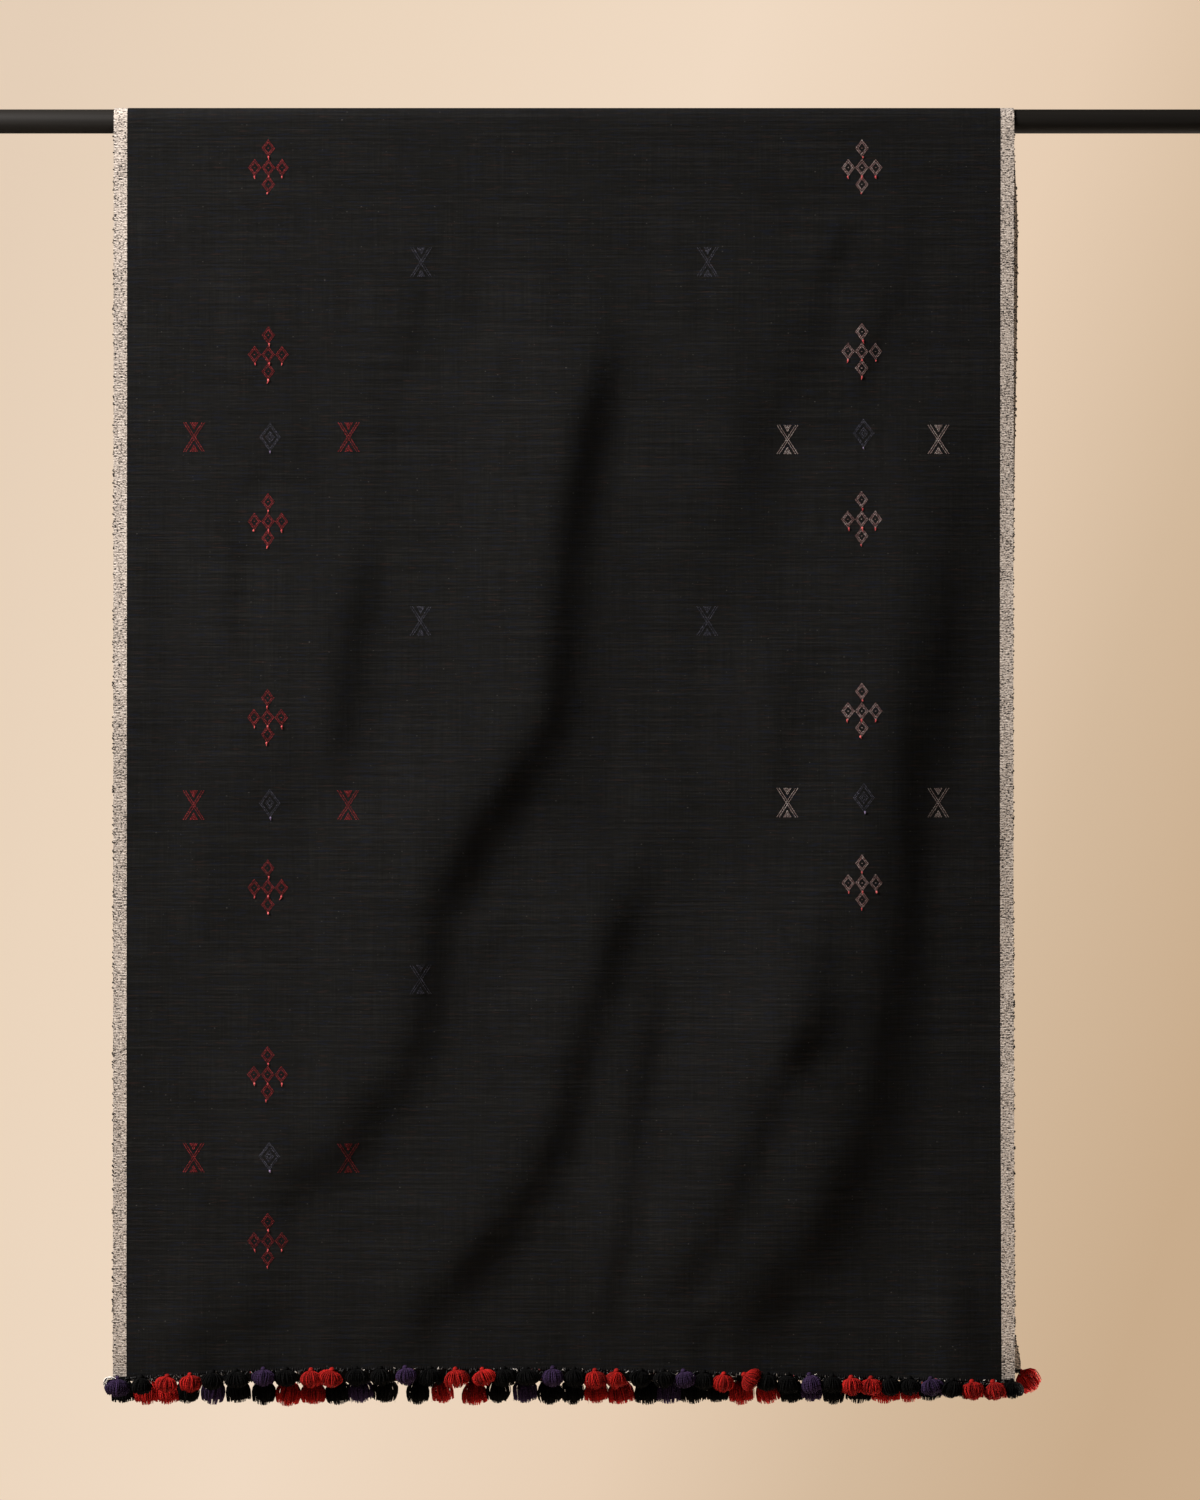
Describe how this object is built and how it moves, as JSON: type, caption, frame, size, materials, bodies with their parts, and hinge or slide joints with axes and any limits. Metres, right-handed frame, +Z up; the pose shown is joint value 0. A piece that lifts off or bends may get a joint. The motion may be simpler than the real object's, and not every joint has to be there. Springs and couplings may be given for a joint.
{
  "type": "shawl on rod",
  "caption": "Dark handwoven shawl folded in half over a round rod, with light selvedge borders, diamond motifs and a row of small coloured yarn tassels on each hem.",
  "frame": {"origin": "on the rod's axis, half way along the rod and across the shawl", "axes": "+X along the rod to the viewer's right, +Y to the back fall, +Z up"},
  "size_m": [1.1, 0.0616, 1.0262],
  "materials": {
    "rod": "matte black",
    "ground_cloth": "fine plain weave with slubs, near black, with diamond and hourglass motifs in extra weft",
    "border": "ivory and grey heathered selvedge weave",
    "black_yarn": "soft matte yarn",
    "red_yarn": "soft matte yarn",
    "purple_yarn": "soft matte yarn"
  },
  "bodies": {
    "root": {"back_fall_border_left": "border", "back_fall_border_right": "border", "back_fall_ground": "ground_cloth", "back_fringe_black": "black_yarn", "back_purple_1": "purple_yarn", "back_purple_2": "purple_yarn", "back_purple_3": "purple_yarn", "back_purple_4": "purple_yarn", "back_purple_5": "purple_yarn", "back_purple_6": "purple_yarn", "back_red_1": "red_yarn", "back_red_2": "red_yarn", "back_red_3": "red_yarn", "back_red_4": "red_yarn", "back_red_5": "red_yarn", "back_red_6": "red_yarn", "back_red_7": "red_yarn", "front_fall_border_left": "border", "front_fall_border_right": "border", "front_fall_ground": "ground_cloth", "front_fringe_black": "black_yarn", "front_purple_1": "purple_yarn", "front_purple_2": "purple_yarn", "front_purple_3": "purple_yarn", "front_purple_4": "purple_yarn", "front_purple_5": "purple_yarn", "front_purple_6": "purple_yarn", "front_purple_7": "purple_yarn", "front_red_1": "red_yarn", "front_red_2": "red_yarn", "front_red_3": "red_yarn", "front_red_4": "red_yarn", "front_red_5": "red_yarn", "front_red_6": "red_yarn", "front_red_7": "red_yarn", "rod": "rod", "turn_border_left": "border", "turn_border_right": "border", "turn_ground": "ground_cloth"}
  },
  "joints": []
}
